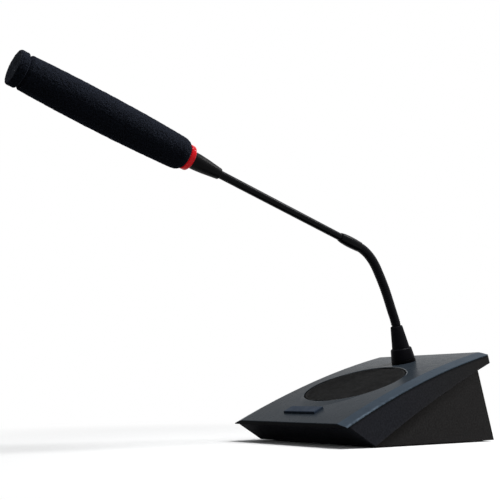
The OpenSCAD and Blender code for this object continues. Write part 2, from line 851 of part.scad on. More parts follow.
module line_sockets() {
  color("#141415") for (x = [-socket_x, socket_x]) translate([x, socket_face, board_top])
    difference() {
      translate([-socket_w / 2, -socket_d, 0]) cube([socket_w, socket_d, socket_h]);
      translate([-socket_mouth_w / 2, -socket_mouth_d, socket_sill])
        cube([socket_mouth_w, socket_mouth_d + over, socket_mouth_h]);
      translate([-latch_w / 2, -socket_mouth_d, socket_sill + socket_mouth_h - over])
        cube([latch_w, socket_mouth_d + over, latch_h + over]);
    }
}

// Spring wires on the floor of each socket
module socket_contacts() {
  pitch = 1.02;
  wire = 0.45;
  color("#c9a24a") for (x = [-socket_x, socket_x], i = [0 : 7])
    translate([x + (i - 3.5) * pitch - wire / 2, socket_face - socket_mouth_d, board_top + socket_sill])
      cube([wire, 9, wire]);
}

// Neck foot: collar through the panel, washer, nut and rubber boot

module neck_collar() {
  chamfer = 0.9;
  color("#1c1d1f") on_panel(neck_pos) difference() {
    rotate_extrude($fn = round_fn) polygon([[0, -spigot_len], [spigot_r, -spigot_len],
      [spigot_r, flange_low], [flange_d / 2, flange_low], [flange_d / 2, collar_low - chamfer / 2],
      [flange_d / 2 - chamfer / 2, collar_low], [collar_r, collar_low],
      [collar_top_r, collar_top - chamfer], [collar_top_r - chamfer, collar_top], [0, collar_top]]);
    translate([0, 0, collar_top - boot_spigot_len])
      cylinder(r = boot_spigot_r + tube_fit, h = reach, $fn = round_fn);
    translate([0, 0, hose_rest]) cylinder(r = hose_r + hose_fit, h = reach, $fn = round_fn);
    translate([0, 0, -spigot_len - over]) cylinder(r = collar_bore_r, h = reach, $fn = small_fn);
  }
}

module neck_washer() {
  color("#8d9093") on_panel(neck_pos) translate([0, 0, nut_top])
    tube(washer_r, spigot_r + 0.15, washer_t);
}

module neck_nut() {
  color("#8d9093") on_panel(neck_pos) translate([0, 0, nut_top - nut_t]) difference() {
    cylinder(r = nut_r, h = nut_t, $fn = 6);
    translate([0, 0, -over]) cylinder(r = spigot_r + tube_fit, h = nut_t + 2 * over, $fn = round_fn);
  }
}

module neck_boot() {
  foot_z = collar_top - boot_spigot_len;
  lip = 0.6;
  color("#131314") on_panel(neck_pos) rotate_extrude($fn = round_fn)
    polygon([[hose_r + hose_fit, foot_z], [boot_spigot_r, foot_z], [boot_spigot_r, collar_top],
      [boot_r, collar_top], [boot_top_r, mouth - lip], [boot_top_r - lip, mouth],
      [hose_r + hose_fit, mouth]]);
}

// Cable from the gooseneck's foot to its plug on the main board
plug_y = board_y0 + 24;
plug_top = board_top + 7;

module cable_plug() {
  color("#d8d3c4") translate([-4, plug_y - 3, board_top]) cube([8, 6, 7]);
}

// Its path is one smooth curve drawn by four control points in the middle plane
cable_points = [
  [straight(neck_foot, hose_rest - seam / 2)[0], straight(neck_foot, hose_rest - seam / 2)[1]],
  [straight(neck_foot, -2.4 * spigot_len)[0], straight(neck_foot, -2.4 * spigot_len)[1]],
  [plug_y, plug_top + 2 * spigot_len],
  [plug_y, plug_top]
];
function curve_at(c, t) = pow(1 - t, 3) * c[0] + 3 * t * pow(1 - t, 2) * c[1]
  + 3 * t * t * (1 - t) * c[2] + pow(t, 3) * c[3];
function curve_run(c, t) = pow(1 - t, 2) * (c[1] - c[0]) + 2 * t * (1 - t) * (c[2] - c[1])
  + t * t * (c[3] - c[2]);
function curve_ring(c, t, r, sides) =
  let (p = curve_at(c, t), d = curve_run(c, t) / norm(curve_run(c, t))) [
    for (i = [0 : sides - 1])
      let (a = 360 * i / sides)
        [r * cos(a), p[0] + r * sin(a) * d[1], p[1] - r * sin(a) * d[0]]
  ];

module base_cable() {
  sides = 8;
  n = 18;
  color("#0f0f10") swept_rod([for (j = [0 : n]) curve_ring(cable_points, j / n, cable_r, sides)], sides);
}

// Gooseneck sections and the cable inside them

module gooseneck_low() {
  color("#1d1e1f") ribbed_hose(hose_start, cut_1);
}

module gooseneck_mid() {
  color("#1d1e1f") ribbed_hose(cut_1, cut_2);
}

module gooseneck_high() {
  color("#1d1e1f") ribbed_hose(cut_2, hose_end);
}

module cable_low() {
  color("#0f0f10") path_cable(hose_start, cut_1);
}

module cable_mid() {
  color("#0f0f10") path_cable(cut_1, cut_2);
}

module cable_high() {
  color("#0f0f10") path_cable(cut_2, cable_end);
}

// Head: coupler, stem, ferrule, signal ring, microphone and foam

module neck_coupler() {
  lip = 0.4;
  color("#1b1c1e") on_stem(-coupler_back) difference() {
    rotate_extrude($fn = round_fn) polygon([[0, 0], [coupler_low_r - lip, 0], [coupler_low_r, lip],
      [coupler_r, coupler_len * 0.35], [coupler_r, coupler_len * 0.6],
      [coupler_r - 0.4, coupler_len * 0.85], [coupler_end_r, coupler_len - lip],
      [coupler_end_r - lip, coupler_len], [0, coupler_len]]);
    translate([0, 0, -over])
      cylinder(r = hose_r + hose_fit, h = coupler_back + hose_into + seam + over, $fn = round_fn);
    translate([0, 0, coupler_back + stem_seat])
      cylinder(r = stem_r + tube_fit, h = coupler_len, $fn = round_fn);
    cylinder(r = cable_bore_r, h = coupler_len, $fn = small_fn);
  }
}

module stem_tube() {
  color("#1a1b1c") on_stem(stem_seat) tube(stem_r, stem_bore_r, stem_end + stem_into - stem_seat);
}

// Where the ferrule's front plug ends inside the microphone tube
plug_len = 7;
spigot_top = ring_low + plug_len;

module head_ferrule() {
  rear_r = stem_r + 1.6;
  front_r = mic_r - 0.3;
  plug_r = mic_r - mic_wall - tube_fit;
  color("#141416") on_stem(0) difference() {
    rotate_extrude($fn = round_fn) polygon([[0, stem_end], [rear_r - 0.4, stem_end],
      [rear_r, stem_end + 0.6], [rear_r + 0.9, stem_end + ferrule_len * 0.25],
      [front_r - 0.8, stem_end + ferrule_len * 0.5], [front_r - 0.2, stem_end + ferrule_len * 0.75],
      [front_r, ring_low], [plug_r, ring_low], [plug_r, spigot_top], [0, spigot_top]]);
    translate([0, 0, stem_end - over])
      cylinder(r = stem_r + tube_fit, h = stem_into + over, $fn = round_fn);
    translate([0, 0, stem_end]) cylinder(r = cable_bore_r, h = ferrule_len + reach, $fn = small_fn);
  }
}

module signal_ring() {
  r = ring_d / 2;
  f = ring_round;
  e = ring_front_round;
  steps = 6;
  rear = [for (i = [0 : steps]) let (a = -90 + 90 * i / steps)
    [r - f + f * cos(a), ring_low + f + f * sin(a)]];
  front = [for (i = [0 : steps]) let (a = 90 * i / steps)
    [r - e + e * cos(a), ring_top - e + e * sin(a)]];
  bore = mic_r + tube_fit;
  pocket_r = light_r + tube_fit;
  pocket_low = ring_top - light_t - lamp_h - seam;
  color("#c4152a") on_stem(0) rotate_extrude($fn = round_fn)
    polygon(concat([[bore, ring_low]], rear, front,
      [[pocket_r, ring_top], [pocket_r, pocket_low], [bore, pocket_low]]));
}

// Ring board with the lamps that light the signal ring, let into the ring's front face
module ring_light_board() {
  lamps = 8;
  lamp_w = 1.4;
  lamp_r = (mic_r + light_r) / 2;
  color("#d9d6c8") on_stem(ring_top - light_t) {
    tube(light_r, mic_r + tube_fit, light_t);
    for (i = [0 : lamps - 1]) rotate([0, 0, 360 / lamps * i]) translate([lamp_r, 0, 0])
      block(lamp_w, lamp_w, -lamp_h, 0);
  }
}

module mic_tube() {
  slots = 10;
  slot_w = 2;
  slot_low = capsule_pos + capsule_len + 8;
  slot_end = 6;
  slot_gap = 3;
  slot_len = (mic_len - slot_low - slot_end) / slots;
  color("#9a9da0") on_stem(ring_low) difference() {
    tube(mic_r, mic_r - mic_wall, mic_len);
    for (i = [0 : slots - 1]) translate([0, 0, slot_low + i * slot_len])
      block(mic_d + 2, slot_w, 0, slot_len - slot_gap);
  }
}

module mic_capsule() {
  color("#a8852f") on_stem(ring_low + capsule_pos) difference() {
    cylinder(r = capsule_r, h = capsule_len, $fn = round_fn);
    for (a = [0 : 60 : 300]) rotate([0, 0, a]) translate([capsule_r * 0.55, 0, capsule_len - 1])
      cylinder(r = 1, h = 1 + over, $fn = small_fn);
  }
}

// Radius of the foam at the way z from its rear end
foam_full = foam_len * 0.5;
function foam_at(z) = foam_r - (foam_r - foam_end_r + 0.3) * pow((z - foam_full) / foam_full, 2);

module foam_windscreen() {
  bore = mic_r + foam_fit;
  steps = 6;
  barrel_n = 12;
  edge_r = foam_at(foam_round) - foam_shoulder;
  rear = [for (i = [0 : steps]) let (a = -90 + 90 * i / steps)
    [edge_r + foam_shoulder * cos(a), foam_round + foam_round * sin(a)]];
  barrel = [for (i = [1 : barrel_n])
    let (z = foam_round + (foam_len - groove - foam_round) * i / barrel_n) [foam_at(z), z]];
  color("#0c0c0e") on_stem(foam_low) rotate_extrude($fn = round_fn)
    polygon(concat([[bore, 0]], rear, barrel, [[foam_end_r - groove, foam_len], [bore, foam_len]]));
}

module foam_tip() {
  r = foam_end_r;
  f = 1.6;
  steps = 5;
  front = [for (i = [0 : steps]) let (a = 90 * i / steps)
    [r - f + f * cos(a), tip_t - f + f * sin(a)]];
  color("#0c0c0e") on_stem(foam_top) rotate_extrude($fn = round_fn)
    polygon(concat([[0, 0], [r - groove, 0], [r, groove]], front, [[0, tip_t]]));
}

top_panel();
upper_case();
lower_case();
base_plate();
rubber_mat();
case_screws();
speaker_grille();
speaker_frame();
speaker_cone();
voice_coil();
dust_cap();
speaker_magnet();
magnet_plates();
speaker_screws();
switch_board();
switch_body();
switch_screws();
main_board();
board_spacers();
board_screws();
board_components();
line_sockets();
socket_contacts();
neck_collar();
neck_washer();
neck_nut();
neck_boot();
base_cable();
cable_plug();
talk_key();
switch_plunger();
gooseneck_low();
cable_low();
gooseneck_mid();
cable_mid();
gooseneck_high();
cable_high();
neck_coupler();
stem_tube();
head_ferrule();
signal_ring();
ring_light_board();
mic_tube();
mic_capsule();
foam_windscreen();
foam_tip();
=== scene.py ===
"""Looks of a desk conference microphone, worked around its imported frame.

A sloped table unit with a round loudspeaker grille and a talk key carries a wound gooseneck, a
thin stem and a long foam windscreen with a red signal ring. Sizes below are in millimetres and
follow the part; meshes are in metres, +Z up, with the talker at -Y.
"""

import json
import math

import bmesh
import bpy
import numpy as np
from mathutils import Matrix, Vector


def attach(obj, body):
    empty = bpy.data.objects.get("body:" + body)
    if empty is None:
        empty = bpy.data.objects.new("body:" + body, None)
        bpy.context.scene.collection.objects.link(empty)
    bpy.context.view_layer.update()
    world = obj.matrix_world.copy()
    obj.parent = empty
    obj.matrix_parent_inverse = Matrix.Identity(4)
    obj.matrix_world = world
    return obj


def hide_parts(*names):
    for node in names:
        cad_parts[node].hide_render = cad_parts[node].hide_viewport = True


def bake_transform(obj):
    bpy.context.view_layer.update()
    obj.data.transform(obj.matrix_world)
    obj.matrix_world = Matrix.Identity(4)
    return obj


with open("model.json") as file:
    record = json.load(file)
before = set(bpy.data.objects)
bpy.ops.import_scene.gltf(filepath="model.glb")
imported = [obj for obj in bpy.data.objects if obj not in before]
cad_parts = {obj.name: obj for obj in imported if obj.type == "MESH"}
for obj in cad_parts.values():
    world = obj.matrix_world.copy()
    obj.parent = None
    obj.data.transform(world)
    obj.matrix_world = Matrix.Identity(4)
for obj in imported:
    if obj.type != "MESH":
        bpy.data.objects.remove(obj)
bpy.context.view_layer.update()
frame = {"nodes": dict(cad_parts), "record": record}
MM = 0.001

# Base sizes
panel_w = 150.0
bevel_w = 10.0
mat_t = 1.2
foot_d = 166.0
front_overhang = 34.0
front_edge_h = 18.6
back_edge_h = 84.1
back_inset = 3.0
panel_t = 3.7
crown = 5.4
rim_h = 11.4
parting_crown = 2.6

# Loudspeaker grille, with the lean of its bead in radians
grille_pos = 95.0
grille_r = 50.0
grille_rise = -0.5
grille_t = 1.2
rim_w = 1.2
sheet_r = grille_r - 0.3
sheet_drop = 0.2
sheet_t = 0.7
hole_pitch = 1.7
hole_r = 0.62
bead_bore_r = grille_r + 0.1
bead_crest_r = grille_r + 0.75
bead_r = grille_r + 1.4
bead_lean = 0.008

# Neck, with the turn of each bend in degrees
neck_pos = 170.4
hose_r = 4.5
hose_bore_r = 2.8
hose_fit_r = hose_r + 0.2
hose_rest = 4.1
hose_plug = 8.0
hose_swell = 0.3
hose_bow = 1.35
bow_ways = (8.0, 74.0)
rib_pitch = 2.2
rib_depth = 0.45
rib_power = 0.5
collar_low = 3.2
collar_top = 14.8
collar_bore_r = hose_r - 1.0
collar_ledge = 4.0
flange_r = 12.2
flange_sink = 0.4
spigot_r = 7.0
spigot_len = 11.0
boot_low = collar_top - 8.0
boot_plug_r = hose_r + 3.3
boot_fit_r = hose_r + 3.35
mouth = 37.6
bend_lengths = (11.0, 50.0, 36.0)
bend_turns = (11.5, 1.0, 48.5)
neck_len = sum(bend_lengths)
cable_r = 1.6

# Head, ways along the stem from the end of the gooseneck
stem_r = 3.5
stem_bore_r = stem_r - 0.9
stem_fit_r = stem_r + 0.05
stem_swell = 0.22
lead_hole_r = 2.4
coupler_low = -2.0
coupler_top = 25.0
stem_low = coupler_top - 12.0
stem_end = coupler_top + 152.0
stem_top = stem_end + 10.0
ring_low = stem_end + 32.0
ring_top = ring_low + 5.2
ring_r = 11.3
lamp_pocket_r = 9.95
lamp_pocket = 1.9
mic_r = 8.0
ferrule_plug_r = mic_r - 1.05
ferrule_top = ring_low + 7.0
ring_bore_r = mic_r + 0.05
capsule_way = ring_low + 34.0
foam_len = 149.5
foam_r = 15.75
foam_end_r = 14.35
foam_round = 9.0
foam_shoulder = 5.0
foam_bore_r = mic_r + 0.1
foam_step = 0.55
pit_depth = 0.08
lump_depth = 0.065
foam_inset = 0.1
groove = 1.0
tip_t = 8.3
tip_step = 0.6

# Camera at the photograph's place: metres, and radians left of +Y and above level
camera_place = (0.535335, -0.577677, 0.041732)
camera_turn = 0.904
camera_rise = 0.186
camera_lens = 56.21

# Sides of turned pieces
ROUND = 96
FOAM_ROUND = 180


# Places on the object


front_top = np.array([-foot_d / 2 - front_overhang, mat_t + front_edge_h])
back_top = np.array([foot_d / 2 - back_inset, mat_t + back_edge_h])
front_foot = np.array([-foot_d / 2, mat_t])


def arc_over(front, back, rise):
    """Centre (y, z) and radius of the arc over the chord from front to back with the given rise."""
    chord = back - front
    length = np.linalg.norm(chord)
    radius = (length**2 / 4 + rise**2) / (2 * rise)
    up = np.array([-chord[1], chord[0]]) / length
    return (front + back) / 2 - up * (radius - rise), radius


panel_centre, panel_radius = arc_over(front_top, back_top, crown)
back_out = (back_top - panel_centre) / np.linalg.norm(back_top - panel_centre)
parting_centre, parting_radius = arc_over(front_foot, back_top - rim_h * back_out, parting_crown)


def on_panel(way):
    """Station (y, z, tilt) on the panel at a way from its front edge along the bow."""
    front = front_top - panel_centre
    angle = math.atan2(front[1], front[0]) - way / panel_radius
    y, z = panel_centre + panel_radius * np.array([math.cos(angle), math.sin(angle)])
    return y, z, angle - math.pi / 2


def neck_line(ways):
    """Stations along the neck: the tilt grows evenly through each bend, the line is its running
    sum."""
    foot_y, foot_z, foot_tilt = on_panel(neck_pos)
    past_neck, fine_step = 300.0, 0.05
    fine = np.arange(-mouth, neck_len + past_neck, fine_step)
    ends = np.cumsum(bend_lengths)
    tilt = np.full_like(fine, foot_tilt)
    for end, length, turn in zip(ends, bend_lengths, bend_turns):
        tilt += math.radians(turn) * np.clip((fine - end + length) / length, 0, 1)
    middle = (tilt[1:] + tilt[:-1]) / 2
    step = np.diff(fine)
    y = foot_y + np.concatenate([[0], np.cumsum(-np.sin(middle) * step)])
    z = foot_z + np.concatenate([[0], np.cumsum(np.cos(middle) * step)])
    return np.stack([np.interp(ways, fine, line) for line in (y, z, tilt)], -1)


def at_station(station, across, along, out):
    """Points in metres from a station: across is X, along lies in the tilted plane, out is its
    normal."""
    y, z, tilt = station[..., 0], station[..., 1], station[..., 2]
    points = np.stack(
        [
            across + 0 * out,
            y + along * np.cos(tilt) - out * np.sin(tilt),
            z + along * np.sin(tilt) + out * np.cos(tilt),
        ],
        -1,
    )
    return points * MM


panel_foot = np.array(on_panel(neck_pos))
grille_seat = np.array(on_panel(grille_pos))
stem_foot = neck_line(np.array(neck_len))


# Meshes


def new_piece(name, mesh):
    """An object at the origin that holds the mesh."""
    piece = bpy.data.objects.new(name, mesh)
    bpy.context.scene.collection.objects.link(piece)
    return piece


def mesh_of(name, points, faces, smooth=40.0):
    """A mesh with doubled points merged, faces turned outwards, and edges over smooth degrees kept
    sharp."""
    mesh = bpy.data.meshes.new(name)
    mesh.from_pydata(points.reshape(-1, 3).tolist(), [], faces.tolist())
    work = bmesh.new()
    work.from_mesh(mesh)
    bmesh.ops.remove_doubles(work, verts=work.verts, dist=1e-7)
    bmesh.ops.dissolve_degenerate(work, dist=1e-8, edges=work.edges)
    bmesh.ops.recalc_face_normals(work, faces=work.faces)
    work.to_mesh(mesh)
    work.free()
    mesh.shade_smooth()
    mesh.set_sharp_from_angle(angle=math.radians(smooth))
    return mesh


def grid_faces(rows, columns, close_rows):
    """Quads of a grid whose columns close on themselves, and whose rows do if close_rows."""
    r = np.arange(rows if close_rows else rows - 1)[:, None]
    c = np.arange(columns)[None, :]
    r2, c2 = (r + 1) % rows, (c + 1) % columns
    quads = [r * columns + c, r * columns + c2, r2 * columns + c2, r2 * columns + c]
    return np.stack(np.broadcast_arrays(*quads), -1).reshape(-1, 4)


def rounded(corners, steps=5):
    """Points of a closed outline of (radius, along, round) corners: each corner becomes an arc that
    starts and ends on its two sides, cut short where a side is too short for it."""
    near_straight, most_of_half = 1.55, 0.49
    spots = np.array([c[:2] for c in corners], float)
    neighbours = np.roll(spots, 1, 0), np.roll(spots, -1, 0)
    points = []
    for spot, before, after, corner in zip(spots, *neighbours, corners):
        a, b = before - spot, after - spot
        la, lb = np.linalg.norm(a), np.linalg.norm(b)
        cosine = np.clip(a @ b / (la * lb), -1, 1)
        half = math.acos(cosine) / 2
        if corner[2] == 0 or half > near_straight:
            points.append(spot)
            continue
        cut = min(corner[2] / math.tan(half), most_of_half * la, most_of_half * lb)
        size = cut * math.tan(half)
        start, end = spot + a / la * cut, spot + b / lb * cut
        inwards = (a / la + b / lb) / np.linalg.norm(a / la + b / lb)
        middle = spot + inwards * size / math.sin(half)
        for share in np.linspace(0, 1, steps):
            ray = (1 - share) * (start - middle) + share * (end - middle)
            points.append(middle + ray / np.linalg.norm(ray) * size)
    return np.array(points)


def turned(name, profile, station, columns=ROUND, push=None):
    """A profile of (radius, along) points carried round the station's normal. push moves each point
    of the grid outwards along the profile's own normal."""
    angles = np.arange(columns) * 2 * math.pi / columns
    radius = np.repeat(profile[:, :1], columns, 1)
    along = np.repeat(profile[:, 1:], columns, 1)
    if push is not None:
        run = np.roll(profile, -1, 0) - np.roll(profile, 1, 0)
        run /= np.maximum(np.linalg.norm(run, axis=1), 1e-9)[:, None]
        radius = radius + run[:, 1:] * push
        along = along - run[:, :1] * push
    points = at_station(station, radius * np.cos(angles), radius * np.sin(angles), along)
    return new_piece(name, mesh_of(name, points, grid_faces(len(profile), columns, True)))


def swept(name, ways, radius, bore, sides):
    """A tube along the neck: ring after ring with the given radii, then back through its bore,
    which is a line where the tube is solid. Its middle bows back by a squared sine."""
    angles = np.arange(sides) * 2 * math.pi / sides
    inner_ways = np.linspace(ways[-1], ways[0], max(8, len(ways) // 8))
    inner = np.full((len(inner_ways), sides), bore)
    all_ways = np.concatenate([ways, inner_ways])
    stations = neck_line(all_ways)[:, None, :]
    back = hose_bow * np.sin(math.pi * np.interp(all_ways, bow_ways, (0, 1)))[:, None] ** 2
    radii = np.concatenate([radius, inner])
    points = at_station(stations, radii * np.cos(angles), radii * np.sin(angles) + back, 0 * radii)
    faces = grid_faces(len(radii), sides, True)
    return new_piece(name, mesh_of(name, points, faces, smooth=70.0))


# Finishes


def colour(red, green, blue):
    """Screen colour, 0 to 255, as the shader's linear values."""
    share = np.array([red, green, blue]) / 255
    linear = np.where(share < 0.04045, share / 12.92, ((share + 0.055) / 1.055) ** 2.4)
    return (*linear.tolist(), 1.0)


# Where a pattern begins and ends its run from dark to light
PATTERN_LOW, PATTERN_HIGH = 0.3, 0.7


class Finish:
    """A material with one Principled shader. Patterns follow Object coordinates, in metres."""

    def __init__(self, name, **constants):
        self.material = bpy.data.materials.new(name)
        self.material.use_nodes = True
        self.tree = self.material.node_tree
        self.shader = self.tree.nodes["Principled BSDF"]
        for word, value in constants.items():
            socket = word.replace("_", " ").title().replace("Ior", "IOR")
            self.shader.inputs[socket].default_value = value
        self.coordinates = self.add("ShaderNodeTexCoord").outputs["Object"]

    def add(self, kind):
        """A new node."""
        return self.tree.nodes.new(kind)

    def link(self, source, target):
        """One node's output into another's input."""
        self.tree.links.new(source, target)

    def vector(self, operation, place, other=None):
        """A place worked with another vector, or by itself."""
        node = self.add("ShaderNodeVectorMath")
        node.operation = operation
        self.link(place, node.inputs[0])
        if other is not None:
            node.inputs[1].default_value = other
        return node.outputs

    def noise(self, size, detail=2.0, stretch=(1, 1, 1)):
        """Soft blobs about size millimetres across, stretched along the axes."""
        place = self.add("ShaderNodeMapping")
        place.inputs["Scale"].default_value = [1 / s for s in stretch]
        self.link(self.coordinates, place.inputs["Vector"])
        node = self.add("ShaderNodeTexNoise")
        node.inputs["Scale"].default_value = 1 / (size * MM)
        node.inputs["Detail"].default_value = detail
        self.link(place.outputs["Vector"], node.inputs["Vector"])
        return node.outputs["Fac"]

    def cells(self, size):
        """Distance to the nearest of scattered points about size millimetres apart."""
        node = self.add("ShaderNodeTexVoronoi")
        node.inputs["Scale"].default_value = 1 / (size * MM)
        self.link(self.coordinates, node.inputs["Vector"])
        return node.outputs["Distance"]

    def ramp(self, pattern, dark, light, low, high):
        """Colours from dark to light as the pattern goes from low to high."""
        node = self.add("ShaderNodeValToRGB")
        node.color_ramp.elements[0].position = low
        node.color_ramp.elements[1].position = high
        node.color_ramp.elements[0].color = colour(*dark)
        node.color_ramp.elements[1].color = colour(*light)
        self.link(pattern, node.inputs["Fac"])
        return node.outputs["Color"]

    def tint(self, pattern, dark, light, low=PATTERN_LOW, high=PATTERN_HIGH):
        """The base colour runs from dark to light with the pattern."""
        self.link(self.ramp(pattern, dark, light, low, high), self.shader.inputs["Base Color"])

    def beyond(self, direction, way, pattern, dark, light, both=False, soft=0.02):
        """Another pair of colours past a way in millimetres along a direction, or along it on
        both sides. It comes in over a soft width."""
        place = self.vector("ABSOLUTE", self.coordinates)["Vector"] if both else self.coordinates
        along = self.vector("DOT_PRODUCT", place, direction)["Value"]
        mask = self.share(along, way - soft / 2, way + soft / 2)
        self.over(mask, pattern, dark, light)

    def slide(self, direction, start, stop):
        """1 to 0 between two ways in millimetres along a direction."""
        along = self.vector("DOT_PRODUCT", self.coordinates, direction)["Value"]
        return self.share(along, stop, start)

    def far(self, centre, low, high):
        """0 to 1 as the distance from a line along X through centre (y, z) goes from low to high
        millimetres."""
        middle = (0, centre[0] * MM, centre[1] * MM)
        ray = self.vector("SUBTRACT", self.coordinates, middle)["Vector"]
        flat = self.vector("MULTIPLY", ray, (0, 1, 1))["Vector"]
        return self.share(self.vector("LENGTH", flat)["Value"], low, high)

    def share(self, value, low, high):
        """0 to 1 as a value in metres goes from low to high millimetres."""
        node = self.add("ShaderNodeMapRange")
        node.inputs["From Min"].default_value = low * MM
        node.inputs["From Max"].default_value = high * MM
        self.link(value, node.inputs["Value"])
        return node.outputs["Result"]

    def times(self, one, other):
        """One pattern times another."""
        node = self.add("ShaderNodeMath")
        node.operation = "MULTIPLY"
        self.link(one, node.inputs[0])
        self.link(other, node.inputs[1])
        return node.outputs["Value"]

    def over(self, mask, pattern, dark, light):
        """Another pair of colours laid over the base colour where the mask is 1."""
        below = self.shader.inputs["Base Color"].links[0].from_socket
        ramp = self.ramp(pattern, dark, light, PATTERN_LOW, PATTERN_HIGH)
        mix = self.add("ShaderNodeMix")
        mix.data_type = "RGBA"
        self.link(mask, mix.inputs["Factor"])
        self.link(below, mix.inputs["A"])
        self.link(ramp, mix.inputs["B"])
        self.link(mix.outputs["Result"], self.shader.inputs["Base Color"])

    def worn(self, pattern, dark, light):
        """Edges that stand out are rubbed paler, unevenly, as the pattern goes."""
        blunt, sharp = 0.53, 0.62
        shape = self.add("ShaderNodeNewGeometry")
        edge = self.add("ShaderNodeMapRange")
        edge.inputs["From Min"].default_value = blunt
        edge.inputs["From Max"].default_value = sharp
        self.link(shape.outputs["Pointiness"], edge.inputs["Value"])
        self.over(self.times(edge.outputs["Result"], pattern), pattern, dark, light)

    def rough(self, pattern, low, high):
        """The roughness runs from low to high with the pattern."""
        node = self.add("ShaderNodeMapRange")
        node.inputs["From Min"].default_value = PATTERN_LOW
        node.inputs["From Max"].default_value = PATTERN_HIGH
        node.inputs["To Min"].default_value = low
        node.inputs["To Max"].default_value = high
        self.link(pattern, node.inputs["Value"])
        self.link(node.outputs["Result"], self.shader.inputs["Roughness"])

    def relief(self, pattern, depth, strength=1.0, edge=0.0):
        """The pattern raises the surface by depth millimetres, over edges eased by a radius."""
        node = self.add("ShaderNodeBump")
        if edge > 0:
            eased = self.add("ShaderNodeBevel")
            eased.samples = 6
            eased.inputs["Radius"].default_value = edge * MM
            self.link(eased.outputs["Normal"], node.inputs["Normal"])
        node.inputs["Distance"].default_value = depth * MM
        node.inputs["Strength"].default_value = strength
        self.link(pattern, node.inputs["Height"])
        self.link(node.outputs["Normal"], self.shader.inputs["Normal"])


# Radius of an eased moulded edge, and directions on the object
EDGE_EASE = 0.4
BACKWARDS = (0, 1, 0)
SIDEWAYS = (1, 0, 0)


def moulded(name, dark, light, grain=0.45, depth=0.03, low=0.42, high=0.55, **constants):
    """Moulded plastic: a fine spark-eroded grain, faint clouding and uneven gloss."""
    finish = Finish(name, **constants)
    finish.tint(finish.noise(18.0, 4.0), dark, light)
    finish.rough(finish.noise(6.0, 3.0), low, high)
    finish.relief(finish.noise(grain, 3.0), depth, edge=EDGE_EASE)
    return finish.material


def banded_panel(name):
    """The panel's plastic: slate on the flat top, with painted bluish sky light on the sloped bands,
    a painted shade that turns the front edge black, and a painted highlight along the long edges,
    less towards the back. A fine grain covers it."""
    highlight_w, highlight_soft, highlight_len = 1.5, 2.0, 170.0
    front_shade_w = 0.3
    finish = Finish(name, specular_ior_level=0.015)
    cloud = finish.noise(18.0, 4.0)
    finish.tint(cloud, (37, 43, 49), (41, 47, 53))
    band = (51, 60, 70), (57, 67, 77)
    # The bluer sloped bands are painted bluish sky light.
    finish.beyond(SIDEWAYS, panel_w / 2 - bevel_w, cloud, *band, both=True)
    front_y, front_z, front_tilt = on_panel(0.0)
    # The paler long edges are a painted highlight, fading towards the back.
    fading = finish.slide(BACKWARDS, front_y, front_y + highlight_len)
    rubbed = finish.times(finish.noise(4.0, 4.0), fading)
    pale = (57, 67, 77), (104, 118, 132)
    finish.beyond(SIDEWAYS, panel_w / 2 - highlight_w, rubbed, *pale, both=True, soft=highlight_soft)
    # A painted shade turns the front edge black.
    ahead = (0, -math.cos(front_tilt), -math.sin(front_tilt))
    front_way = front_y * ahead[1] + front_z * ahead[2]
    finish.beyond(ahead, front_way - front_shade_w, cloud, (18, 19, 23), (22, 23, 27))
    finish.rough(finish.noise(6.0, 3.0), 0.26, 0.32)
    finish.relief(finish.noise(0.9, 2.0), 0.004, edge=EDGE_EASE)
    return finish.material


def case_plastic(name, dark, light):
    """Matt plastic of the case with a coarse even grain, as a finish and its grain."""
    finish = Finish(name, specular_ior_level=0.02)
    grain = finish.noise(1.6, 4.0)
    finish.tint(grain, dark, light)
    finish.rough(finish.noise(6.0, 3.0), 0.55, 0.68)
    finish.relief(finish.noise(0.7, 3.0), 0.05, edge=EDGE_EASE)
    return finish, grain


def upper_case_black(name):
    """The upper half: painted bluish sky light in front, a painted shadow under the panel, and a
    painted highlight along its lower edge.
    """
    blue_from, blue_to = -60.0, 70.0
    seam_shade, seam_line, highlight_w = 2.4, 0.4, 1.8
    finish, grain = case_plastic(name, (33, 33, 33), (46, 45, 45))
    # Painted bluish sky light on the front of the upper half, fading towards the back.
    front = finish.slide(BACKWARDS, blue_from, blue_to)
    finish.over(front, grain, (30, 31, 35), (44, 45, 50))
    # Painted shadow of the seam under the panel's edge.
    seam_way = panel_radius - panel_t
    under_panel = finish.far(panel_centre, seam_way - seam_shade, seam_way - seam_line)
    finish.over(under_panel, grain, (19, 20, 22), (27, 28, 30))
    # Painted highlight along the overhanging lower edge.
    lower_edge = finish.far(parting_centre, parting_radius + highlight_w, parting_radius)
    finish.over(finish.times(lower_edge, grain), grain, (46, 46, 48), (60, 60, 62))
    return finish.material


def lower_case_black(name):
    """The lower half: a painted shade just under the parting line, where the upper half overhangs,
    most of all towards the front.
    """
    shade_w, shade_from, shade_to = 10.0, -40.0, 110.0
    finish, grain = case_plastic(name, (35, 34, 34), (49, 48, 48))
    under_line = finish.far(parting_centre, parting_radius - shade_w, parting_radius)
    shaded = finish.times(under_line, finish.slide(BACKWARDS, shade_from, shade_to))
    finish.over(shaded, grain, (20, 19, 18), (28, 27, 26))
    return finish.material


def painted(name, dark, light, low=0.35, high=0.5, rubbed=True, **constants):
    """Paint on metal: a slight orange peel, some dust in the gloss, and paler edges where rubbed."""
    finish = Finish(name, **constants)
    finish.tint(finish.noise(9.0, 4.0), dark, light)
    if rubbed:
        finish.worn(finish.noise(3.0, 4.0), (52, 52, 54), (92, 92, 94))
    finish.rough(finish.noise(2.5, 4.0), low, high)
    finish.relief(finish.noise(0.9, 2.0), 0.02)
    return finish.material


